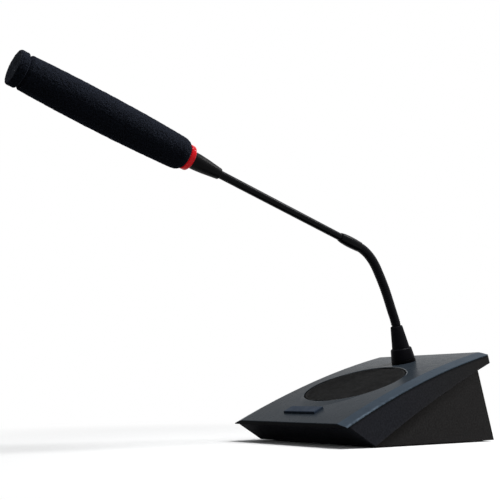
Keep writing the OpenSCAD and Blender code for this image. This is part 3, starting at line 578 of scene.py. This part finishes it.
def collar_black(name):
    """The collar's paint, with a painted shade that darkens the foot of its flange where it meets
    the panel.
    """
    foot_h = collar_low + 0.1
    finish = Finish(name, specular_ior_level=0.025)
    cloud = finish.noise(9.0, 4.0)
    finish.tint(cloud, (9, 9, 12), (13, 13, 18))
    # Paler convex edges: partly wear, partly a painted highlight on the top chamfer.
    finish.worn(finish.noise(3.0, 4.0), (40, 40, 44), (76, 76, 82))
    # Painted shade on the foot of the flange.
    down = (0, math.sin(panel_foot[2]), -math.cos(panel_foot[2]))
    seam = at_station(panel_foot, 0.0, 0.0, foot_h)
    finish.beyond(down, float(seam @ down) / MM, cloud, (0, 0, 1), (1, 1, 2))
    finish.rough(finish.noise(2.5, 4.0), 0.34, 0.46)
    finish.relief(finish.noise(0.9, 2.0), 0.02)
    return finish.material


def brushed(name, dark, light, stretch=(14, 1, 1), low=0.28, high=0.42):
    """Bare metal drawn in one direction: long thin scratches in colour, gloss and relief."""
    finish = Finish(name, metallic=1.0)
    lines = finish.noise(0.35, 3.0, stretch)
    finish.tint(lines, dark, light)
    finish.rough(lines, low, high)
    finish.relief(lines, 0.01)
    return finish.material


def rubber(name, dark, light, grain=0.6):
    """Matt rubber with a soft bloom and a fine pebble."""
    finish = Finish(name, specular_ior_level=0.05)
    finish.tint(finish.noise(7.0, 4.0), dark, light)
    finish.rough(finish.noise(1.5, 3.0), 0.6, 0.8)
    finish.relief(finish.noise(grain, 2.0), 0.03)
    return finish.material


def fibre(name, dark, light):
    """Pressed paper: matted fibres in colour and relief."""
    finish = Finish(name, specular_ior_level=0.2)
    fibres = finish.noise(0.5, 6.0, (3, 1, 1))
    finish.tint(fibres, dark, light)
    finish.rough(fibres, 0.8, 0.95)
    finish.relief(fibres, 0.06)
    return finish.material


def circuit(name):
    """Green board: a lacquer with paler copper runs under it."""
    finish = Finish(name)
    runs = finish.noise(1.6, 1.0, (6, 1, 1))
    finish.tint(runs, (18, 58, 36), (38, 92, 58), 0.48, 0.53)
    finish.rough(finish.noise(3.0), 0.3, 0.42)
    finish.relief(runs, 0.03)
    return finish.material


def open_cell_foam(name, painted_lit_end=False):
    """Open-cell foam: tiny pits, a dusty bloom on the cell walls, no gloss. A lit end gets a paler
    painted light on its end face.
    """
    finish = Finish(name, specular_ior_level=0.02, sheen_weight=0.08, sheen_roughness=0.5)
    finish.shader.inputs["Sheen Tint"].default_value = colour(150, 160, 190)
    walls = finish.noise(0.9, 4.0)
    finish.tint(walls, (9, 10, 12), (35, 39, 49), 0.36, 0.68)
    # The end face is painted paler, as if lit from the front.
    if painted_lit_end:
        lit_end_depth = 0.4
        axis = (0, -math.sin(stem_foot[2]), math.cos(stem_foot[2]))
        end = at_station(stem_foot, 0.0, 0.0, ring_top + foam_len + tip_t - lit_end_depth)
        finish.beyond(axis, float(end @ axis) / MM, walls, (50, 52, 58), (62, 65, 72))
    finish.rough(finish.noise(2.0), 0.9, 1.0)
    finish.relief(finish.cells(0.9), 0.5, 0.8)
    return finish.material


def clear_red(name):
    """Glossy tinted plastic that glows a little: clouded depth under a smooth coat."""
    finish = Finish(name, specular_ior_level=0.1, subsurface_weight=0.2, emission_strength=0.26)
    finish.shader.inputs["Emission Color"].default_value = colour(234, 6, 20)
    finish.shader.inputs["Subsurface Radius"].default_value = (0.003, 0.0006, 0.0006)
    finish.tint(finish.noise(3.5, 3.0), (158, 4, 18), (180, 8, 26))
    finish.rough(finish.noise(2.0), 0.12, 0.18)
    finish.relief(finish.noise(1.8, 2.0), 0.015)
    return finish.material


# How much a surface mirrors
SEMI = {"specular_ior_level": 0.05}
DULL = {"specular_ior_level": 0.03}
MATT = {"specular_ior_level": 0.0}

finishes = {
    "panel": banded_panel("panel_slate"),
    "case": lower_case_black("case_black"),
    "steel_plate": painted("plate_paint", (34, 35, 37), (46, 47, 49)),
    "mat": rubber("mat_rubber", (18, 18, 19), (30, 30, 31)),
    "screw": brushed("screw_steel", (120, 122, 126), (176, 178, 182), (1, 6, 1)),
    "grille": painted("grille_paint", (34, 34, 34), (44, 44, 44), 0.7, 0.85, **MATT),
    "basket": painted("basket_paint", (34, 34, 36), (46, 46, 48)),
    "cone": fibre("cone_paper", (16, 16, 17), (30, 30, 31)),
    "coil": brushed("coil_copper", (140, 84, 44), (206, 138, 84), (1, 1, 9)),
    "magnet": painted("magnet_ferrite", (40, 40, 42), (58, 58, 60), 0.6, 0.8),
    "pole": brushed("pole_steel", (130, 132, 136), (180, 182, 186)),
    "board": circuit("board_lacquer"),
    "switch": moulded("switch_black", (20, 20, 21), (32, 32, 33)),
    "spacer": brushed("spacer_brass", (160, 124, 58), (208, 172, 96), (1, 1, 8)),
    "chips": moulded("chip_black", (24, 24, 25), (38, 38, 40)),
    "socket": moulded("socket_black", (14, 14, 15), (24, 24, 25), 0.5, 0.02, 0.3, 0.4),
    "contact": brushed("contact_gold", (190, 150, 62), (228, 190, 100), (1, 9, 1)),
    "collar": collar_black("collar_paint"),
    "washer": brushed("washer_steel", (128, 130, 134), (180, 182, 186)),
    "boot": rubber("boot_rubber", (8, 8, 11), (14, 14, 18)),
    "cable": rubber("cable_jacket", (14, 14, 15), (24, 24, 25)),
    "plug": moulded("plug_ivory", (196, 190, 172), (214, 208, 192)),
    "key": moulded("key_blue_grey", (34, 43, 55), (40, 49, 62), 0.4, 0.02, 0.5, 0.6, **DULL),
    "plunger": moulded("plunger_ivory", (176, 172, 158), (196, 190, 176)),
    "gooseneck": painted("gooseneck_paint", (7, 7, 11), (13, 13, 18), 0.38, 0.52, False, **SEMI),
    "stem": painted("stem_paint", (9, 10, 12), (14, 15, 18), 0.2, 0.32, **SEMI),
    "ferrule": moulded("ferrule_gloss", (7, 7, 9), (11, 11, 13), 1.2, 0.01, 0.32, 0.42, **SEMI),
    "signal": clear_red("signal_red"),
    "lamp_board": moulded("lamp_board_white", (206, 204, 192), (226, 224, 214)),
    "mic_tube": brushed("tube_aluminium", (150, 152, 156), (196, 198, 202), (1, 12, 1)),
    "capsule": brushed("capsule_brass", (158, 130, 62), (204, 176, 104)),
    "foam": open_cell_foam("foam_black"),
}


def wear(piece, slot):
    """The finish of a record slot, on the piece."""
    piece.data.materials.clear()
    piece.data.materials.append(finishes[slot])
    return piece


def stand_for(piece, body, slot, *nodes):
    """A new piece in a slot's finish that rides on a body in place of CAD nodes."""
    wear(piece, slot)
    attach(piece, body)
    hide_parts(*nodes)


for part in frame["record"]["subparts"]:
    node = frame["nodes"][part["node"]]
    node.data.materials.clear()
    node.data.materials.append(finishes[part["material_slot"]])

frame["nodes"]["upper_case"].data.materials[0] = upper_case_black("case_slate_black")


# Loudspeaker grille


def perforated_sheet(name):
    """A honeycomb of cells in rows a pitch apart: each is a ring between its six corners and a
    six-sided hole, or a plain six-sided plate, cut short, where it meets the rim. Its thickness is
    added below."""
    reach = grille_r - rim_w / 2
    open_reach = grille_r - rim_w - hole_pitch
    count = int(reach / hole_pitch) + 2
    steps = np.arange(-count, count + 1)
    rows, columns = np.meshgrid(steps, steps, indexing="ij")
    x = (columns + (rows % 2) / 2) * hole_pitch
    y = rows * hole_pitch * math.sqrt(3) / 2
    centres = np.stack([x.ravel(), y.ravel()], -1)
    far = np.linalg.norm(centres, axis=1)
    angles = np.radians(30 + 60 * np.arange(6))
    ring = np.stack([np.cos(angles), np.sin(angles)], -1)
    corner_r = hole_pitch / math.sqrt(3)
    open_cells = centres[far < open_reach]
    plates = centres[(far >= open_reach) & (far < reach)]
    corners = open_cells[:, None] + ring * corner_r
    holes = open_cells[:, None] + ring * hole_r
    flat = np.concatenate([corners, holes], 1).reshape(-1, 2)
    k = np.arange(6)
    quad = np.stack([k, (k + 1) % 6, (k + 1) % 6 + 6, k + 6], -1)
    faces = (np.arange(len(open_cells))[:, None, None] * 12 + quad).reshape(-1, 4)
    plate_points = (plates[:, None] + ring * corner_r).reshape(-1, 2)
    plate_faces = np.arange(len(plate_points)).reshape(-1, 6) + len(flat)
    spread = np.concatenate([flat, plate_points])
    spread *= np.minimum(1, sheet_r / np.linalg.norm(spread, axis=1))[:, None]
    level = np.full(len(spread), grille_rise - sheet_drop)
    points = at_station(grille_seat, spread[:, 0], spread[:, 1], level)
    mesh = bpy.data.meshes.new(name)
    mesh.from_pydata(points.tolist(), [], faces.tolist() + plate_faces.tolist())
    work = bmesh.new()
    work.from_mesh(mesh)
    bmesh.ops.remove_doubles(work, verts=work.verts, dist=1e-6)
    work.to_mesh(mesh)
    work.free()
    piece = new_piece(name, mesh)
    wall = piece.modifiers.new("thickness", "SOLIDIFY")
    wall.thickness = sheet_t * MM
    wall.offset = -1
    return piece


grille_low = grille_rise - grille_t
stand_for(perforated_sheet("grille_sheet"), "base", "grille", "speaker_grille")
rim_corners = [
    (grille_r - rim_w, grille_low, 0.1),
    (grille_r, grille_low, 0.1),
    (grille_r, grille_rise - 0.3, 0.1),
    (grille_r - 0.5, grille_rise - 0.1, 0.3),
    (grille_r - rim_w, grille_rise - 0.15, 0.05),
]
grille_rim = wear(turned("grille_rim", rounded(rim_corners), grille_seat), "grille")
# The rim is painted black as the shade of the groove round the grille.
grille_rim.data.materials[0] = painted("rim_painted_shade", (10, 10, 10), (15, 15, 15), 0.7, 0.85, **MATT)
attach(grille_rim, "base")

bead_corners = [
    (bead_bore_r, grille_low, 0),
    (bead_bore_r, grille_rise - 0.55, 0),
    (bead_crest_r, grille_rise + 0.25, 0.3),
    (bead_r, grille_rise - 0.05, 0.3),
    (bead_r, grille_low, 0),
]
bead_seat = grille_seat + np.array([0, 0, bead_lean])
grille_bead = wear(turned("grille_bead", rounded(bead_corners), bead_seat), "panel")
grille_bead.data.materials[0] = moulded(
    "lip_gloss", (54, 60, 66), (62, 68, 74), low=0.2, high=0.28, specular_ior_level=0.2
)
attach(grille_bead, "base")


# Neck foot

collar_corners = [
    (collar_bore_r, -spigot_len, 0),
    (spigot_r, -spigot_len, 0.5),
    (spigot_r, -flange_sink, 0),
    (flange_r, -flange_sink, 0),
    (flange_r, collar_low, 0.5),
    (flange_r - 0.7, collar_low, 0.15),
    (flange_r - 0.7, collar_low + 0.5, 0.15),
    (flange_r - 0.2, collar_low + 0.5, 0.3),
    (flange_r - 1.6, collar_top - 0.9, 0.5),
    (flange_r - 2.5, collar_top, 0.4),
    (boot_fit_r, collar_top, 0.2),
    (boot_fit_r, boot_low, 0),
    (hose_fit_r, boot_low, 0),
    (hose_fit_r, collar_ledge, 0),
    (collar_bore_r, collar_ledge, 0),
]
collar = turned("collar", rounded(collar_corners), panel_foot)
stand_for(collar, "base", "collar", "neck_collar")

boot_corners = [
    (hose_fit_r, boot_low, 0),
    (boot_plug_r, boot_low, 0.3),
    (boot_plug_r, collar_top, 0),
    (hose_r + 4.4, collar_top, 0.3),
    (hose_r + 1.6, mouth - 0.6, 0.5),
    (hose_r + 1.0, mouth, 0.4),
    (hose_fit_r, mouth, 0.3),
]
boot = turned("boot", rounded(boot_corners), panel_foot)
stand_for(boot, "base", "boot", "neck_boot")


# Gooseneck and the cable inside it

cuts = (hose_rest - mouth, neck_len / 3, neck_len * 2 / 3, neck_len + hose_plug)
sections = (
    ("low", "base", "neck_low", 0.0, neck_len / 3),
    ("mid", "neck_low", "neck_mid", neck_len / 3, neck_len * 2 / 3),
    ("high", "neck_mid", "head", neck_len * 2 / 3, neck_len),
)


def neck_spot(way):
    """The point in metres on the neck's middle line at a way along it."""
    return at_station(neck_line(np.array(way)), 0.0, 0.0, 0.0).tolist()


def wound_hose(name, start, stop):
    """One stretch of wound hose: a rib that climbs one pitch a turn, full on top, with a narrow
    groove. Between the boot and the coupler it is a little fuller than in them."""
    sides, rings_a_pitch = 48, 9
    swell_ways = [0.3, 2.0, neck_len - 5.0, neck_len - 2.5]
    ways = np.linspace(start, stop, int((stop - start) / rib_pitch * rings_a_pitch) + 1)
    turns = ways[:, None] / rib_pitch - np.arange(sides) / sides
    height = np.abs(np.sin(math.pi * turns)) ** rib_power
    full = hose_r + hose_swell * np.interp(ways, swell_ways, [0, 1, 1, 0])
    return swept(name, ways, full[:, None] - rib_depth * (1 - height), hose_bore_r, sides)


def bend_with(piece, slot, node, start, stop):
    """A new piece in a slot's finish, in place of a CAD node, with its place baked into its mesh."""
    wear(piece, slot)
    neck_spot(start)
    neck_spot(stop)
    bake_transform(piece)
    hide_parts(node)


cable_ends = (*cuts[:3], neck_len + capsule_way - 0.1)
cable_step, cable_sides = 1.5, 16
for k, (label, near, far, start, stop) in enumerate(sections):
    hose = wound_hose("hose_" + label, cuts[k], cuts[k + 1])
    bend_with(hose, "gooseneck", "gooseneck_" + label, start, stop)
    ways = np.arange(cable_ends[k], cable_ends[k + 1], cable_step)
    ways = np.append(ways, cable_ends[k + 1])
    radii = np.full((len(ways), cable_sides), cable_r)
    lead = swept("lead_" + label, ways, radii, 0.0, cable_sides)
    bend_with(lead, "cable", "cable_" + label, start, stop)


# Head

coupler_len = coupler_top - coupler_low
coupler_corners = [
    (hose_fit_r, coupler_low, 0),
    (hose_r + 0.65, coupler_low, 0.3),
    (hose_r + 1.0, coupler_low + 0.35 * coupler_len, 6.0),
    (hose_r + 1.0, coupler_low + 0.6 * coupler_len, 6.0),
    (hose_r + 0.6, coupler_low + 0.85 * coupler_len, 4.0),
    (stem_r + 0.9, coupler_top, 0.4),
    (stem_fit_r, coupler_top, 0),
    (stem_fit_r, stem_low, 0),
    (lead_hole_r, stem_low, 0),
    (lead_hole_r, hose_plug + 0.2, 0),
    (hose_fit_r, hose_plug + 0.2, 0),
]
coupler = turned("coupler", rounded(coupler_corners), stem_foot)
stand_for(coupler, "head", "stem", "neck_coupler")

stem_corners = [
    (stem_bore_r, stem_low, 0),
    (stem_r, stem_low, 0.2),
    (stem_r, coupler_top + 0.2, 0),
    (stem_r + stem_swell, coupler_top + 1.0, 0.4),
    (stem_r + stem_swell, stem_end - 1.0, 0.4),
    (stem_r, stem_end - 0.2, 0),
    (stem_r, stem_top, 0.2),
    (stem_bore_r, stem_top, 0),
]
stem = turned("stem", rounded(stem_corners), stem_foot)
stand_for(stem, "head", "stem", "stem_tube")

ferrule_len = ring_low - stem_end
ferrule_corners = [
    (stem_fit_r, stem_end, 0.2),
    (stem_r + 1.6, stem_end, 0.5),
    (stem_r + 2.5, stem_end + 0.25 * ferrule_len, 9.0),
    (mic_r - 1.1, stem_end + 0.5 * ferrule_len, 14.0),
    (mic_r - 0.5, stem_end + 0.75 * ferrule_len, 14.0),
    (mic_r - 0.3, ring_low, 0.2),
    (ferrule_plug_r, ring_low, 0),
    (ferrule_plug_r, ferrule_top, 0),
    (lead_hole_r, ferrule_top, 0),
    (lead_hole_r, stem_top, 0),
    (stem_fit_r, stem_top, 0),
]
ferrule = turned("ferrule", rounded(ferrule_corners), stem_foot)
stand_for(ferrule, "head", "ferrule", "head_ferrule")

ring_corners = [
    (ring_bore_r, ring_low, 0.2),
    (ring_r, ring_low, 1.9),
    (ring_r, ring_top, 0.9),
    (lamp_pocket_r, ring_top, 0.1),
    (lamp_pocket_r, ring_top - lamp_pocket, 0),
    (ring_bore_r, ring_top - lamp_pocket, 0),
]
ring = turned("ring", rounded(ring_corners, 9), stem_foot)
stand_for(ring, "head", "signal", "signal_ring")


# Foam

draws = np.random.default_rng(11)


def grain(rows, columns, passes):
    """Random grain, averaged with its neighbours a few times and brought back to unit spread."""
    field = draws.normal(size=(rows, columns))
    for _ in range(passes):
        beside, below = np.roll(field, 1, 0), np.roll(field, 1, 1)
        field = (field + beside + below + np.roll(field, (1, 1), (0, 1))) / 4
    return field / field.std()


def foam_bumps(profile, bare):
    """Open cells: fine pits, flat on top, over slower lumps, and nothing on the bare points of the
    profile."""
    flat_top = 0.6
    fine = np.minimum(grain(len(profile), FOAM_ROUND, 1), flat_top)
    slow = grain(len(profile), FOAM_ROUND, 6)
    cover = np.ones(len(profile))
    cover[bare] = 0
    return (pit_depth * fine + lump_depth * slow - foam_inset) * cover[:, None]


def foam_profile():
    """Sleeve of foam: a quarter ellipse as the shoulder behind, a barrel that swells as a
    parabola, a square front end, and the bore. The points of the bore come back as the bare ones."""
    full = foam_len / 2

    def barrel(z):
        """Radius at a height, full at half the length."""
        return foam_r - (foam_r - foam_end_r + 0.3) * ((z - full) / full) ** 2

    edge = barrel(foam_round) - foam_shoulder
    quarter = np.linspace(-math.pi / 2, 0, 22)[:-1]
    rear_r, rear_z = edge + foam_shoulder * np.cos(quarter), foam_round * (1 + np.sin(quarter))
    rear = np.stack([rear_r, rear_z], -1)
    z = np.arange(foam_round, foam_len - groove - 0.6, foam_step)
    body = np.stack([barrel(z), z], -1)
    end = np.array(
        [
            [foam_end_r - 1.1, foam_len - 0.8],
            [foam_end_r - 2.6, foam_len],
            [11.0, foam_len],
        ]
    )
    bore_z = np.linspace(foam_len, 0, 12)
    bore = np.stack([np.full(len(bore_z), foam_bore_r), bore_z], -1)
    outline = np.concatenate([rear, body, end, bore])
    outline[:, 1] += ring_top
    return outline, np.arange(len(rear) + len(body) + 2, len(outline))


sleeve_outline, sleeve_bare = foam_profile()
sleeve_push = foam_bumps(sleeve_outline, sleeve_bare)
sleeve = turned("foam_sleeve", sleeve_outline, stem_foot, FOAM_ROUND, sleeve_push)
stand_for(sleeve, "head", "foam", "foam_windscreen")

tip_low = ring_top + foam_len
tip_corners = [
    (0.0, tip_low, 0),
    (foam_end_r - 2.5, tip_low, 0),
    (foam_end_r, tip_low + 1.5, 1.2),
    (foam_end_r, tip_low + tip_t, 1.6),
    (0.0, tip_low + tip_t, 0),
]


def spaced(outline, step):
    """The same closed outline with points an even step apart, and its own points kept."""
    closed = np.concatenate([outline, outline[:1]])
    way = np.concatenate([[0], np.cumsum(np.linalg.norm(np.diff(closed, axis=0), axis=1))])
    marks = np.linspace(0, way[-1], int(way[-1] / step) + 1)[:-1]
    marks = np.unique(np.concatenate([marks, way[:-1]]))
    return np.stack([np.interp(marks, way, closed[:, i]) for i in (0, 1)], -1)


tip_outline = spaced(rounded(tip_corners, 7), tip_step)
tip_middle, tip_back = 1.5, tip_low + 0.3
tip_bare = np.flatnonzero((tip_outline[:, 0] < tip_middle) | (tip_outline[:, 1] < tip_back))
tip_push = foam_bumps(tip_outline, tip_bare)
tip = turned("foam_end", tip_outline, stem_foot, FOAM_ROUND, tip_push)
stand_for(tip, "head", "foam", "foam_tip")
# The foam's end face gets a paler painted light.
tip.data.materials[0] = open_cell_foam("foam_cut_end", painted_lit_end=True)


# Stage, light and camera


def seen_rays(nodes, links):
    """1 for what the camera, a mirror or glass sees, and 0 for the light that a surface gathers."""
    path = nodes.new("ShaderNodeLightPath")
    either = path.outputs["Is Camera Ray"]
    for kind in ("Is Glossy Ray", "Is Transmission Ray"):
        larger = nodes.new("ShaderNodeMath")
        larger.operation = "MAXIMUM"
        links.new(either, larger.inputs[0])
        links.new(path.outputs[kind], larger.inputs[1])
        either = larger.outputs["Value"]
    return either


def floor_finish():
    """Pale matt floor that turns into plain white far out. It gives the object little light from
    below, so that undersides stay dark."""
    floor_near, floor_far = 0.2, 0.6
    material = bpy.data.materials.new("floor_pale")
    material.use_nodes = True
    nodes, links = material.node_tree.nodes, material.node_tree.links
    shader = nodes["Principled BSDF"]
    shader.inputs["Base Color"].default_value = (0.9, 0.9, 0.9, 1)
    shader.inputs["Roughness"].default_value = 0.9
    shader.inputs["Specular IOR Level"].default_value = 0.1
    white = nodes.new("ShaderNodeEmission")
    dim = nodes.new("ShaderNodeBsdfDiffuse")
    dim.inputs["Color"].default_value = (0.08, 0.08, 0.08, 1)
    place = nodes.new("ShaderNodeTexCoord")
    far = nodes.new("ShaderNodeVectorMath")
    far.operation = "LENGTH"
    links.new(place.outputs["Object"], far.inputs[0])
    fade = nodes.new("ShaderNodeMapRange")
    fade.interpolation_type = "SMOOTHSTEP"
    fade.inputs["From Min"].default_value = floor_near
    fade.inputs["From Max"].default_value = floor_far
    links.new(far.outputs["Value"], fade.inputs["Value"])
    pale = nodes.new("ShaderNodeMixShader")
    links.new(fade.outputs["Result"], pale.inputs["Fac"])
    links.new(shader.outputs["BSDF"], pale.inputs[1])
    links.new(white.outputs["Emission"], pale.inputs[2])
    seen = nodes.new("ShaderNodeMixShader")
    links.new(seen_rays(nodes, links), seen.inputs["Fac"])
    links.new(dim.outputs["BSDF"], seen.inputs[1])
    links.new(pale.outputs["Shader"], seen.inputs[2])
    links.new(seen.outputs["Shader"], nodes["Material Output"].inputs["Surface"])
    return material


def make_floor():
    """A round pale floor: rings of points about the origin."""
    rings = np.array([0.0, 0.3, 0.8, 2.0, 6.0])
    angles = np.arange(ROUND) * 2 * math.pi / ROUND
    x = rings[:, None] * np.cos(angles)
    points = np.stack([x, rings[:, None] * np.sin(angles), 0 * x], -1)
    floor = new_piece("floor", mesh_of("floor", points, grid_faces(len(rings), ROUND, False)))
    floor.data.materials.append(floor_finish())


def make_world():
    """White to look at, and a dim even sky as light."""
    world = bpy.data.worlds.new("sky")
    bpy.context.scene.world = world
    world.use_nodes = True
    nodes, links = world.node_tree.nodes, world.node_tree.links
    sky = nodes["Background"]
    sky.inputs["Color"].default_value = (0.95, 0.98, 1.0, 1)
    sky.inputs["Strength"].default_value = 0.2
    white = nodes.new("ShaderNodeBackground")
    white.inputs["Color"].default_value = (1, 1, 1, 1)
    mix = nodes.new("ShaderNodeMixShader")
    links.new(seen_rays(nodes, links), mix.inputs["Fac"])
    links.new(sky.outputs["Background"], mix.inputs[1])
    links.new(white.outputs["Background"], mix.inputs[2])
    links.new(mix.outputs["Shader"], nodes["World Output"].inputs["Surface"])


def soft_light(name, place, aim, size, power):
    """A round lamp, its width in metres and its power in watts, turned towards a point."""
    lamp = bpy.data.lights.new(name, "AREA")
    lamp.shape = "DISK"
    lamp.size = size
    lamp.energy = power
    holder = bpy.data.objects.new(name, lamp)
    bpy.context.scene.collection.objects.link(holder)
    holder.location = place
    holder.rotation_euler = (Vector(aim) - Vector(place)).to_track_quat("-Z", "Y").to_euler()


def make_camera():
    """A camera turned left of +Y and tipped up, at the photograph's place."""
    data = bpy.data.cameras.new("camera")
    data.lens = camera_lens
    data.sensor_width = 36.0
    data.clip_start = 0.02
    ahead = Vector(
        (
            -math.sin(camera_turn) * math.cos(camera_rise),
            math.cos(camera_turn) * math.cos(camera_rise),
            math.sin(camera_rise),
        )
    )
    right = ahead.cross(Vector((0, 0, 1))).normalized()
    up = right.cross(ahead)
    camera = bpy.data.objects.new("camera", data)
    turn = Matrix((right, up, -ahead)).transposed().to_4x4()
    camera.matrix_world = Matrix.Translation(camera_place) @ turn
    bpy.context.scene.collection.objects.link(camera)
    bpy.context.scene.camera = camera


make_floor()
make_world()
over_base, over_neck = (0.0, -0.1, 0.1), (0.0, -0.2, 0.25)
soft_light("key_light", (0.5, 0.1, 1.45), over_base, size=0.6, power=22.0)
soft_light("side_light", (1.7, -0.1, 0.6), over_base, size=1.4, power=4.5)
soft_light("rim_light", (0.4, 0.7, 0.95), over_neck, size=0.35, power=4.0)
make_camera()
bpy.context.scene.view_settings.view_transform = "Standard"
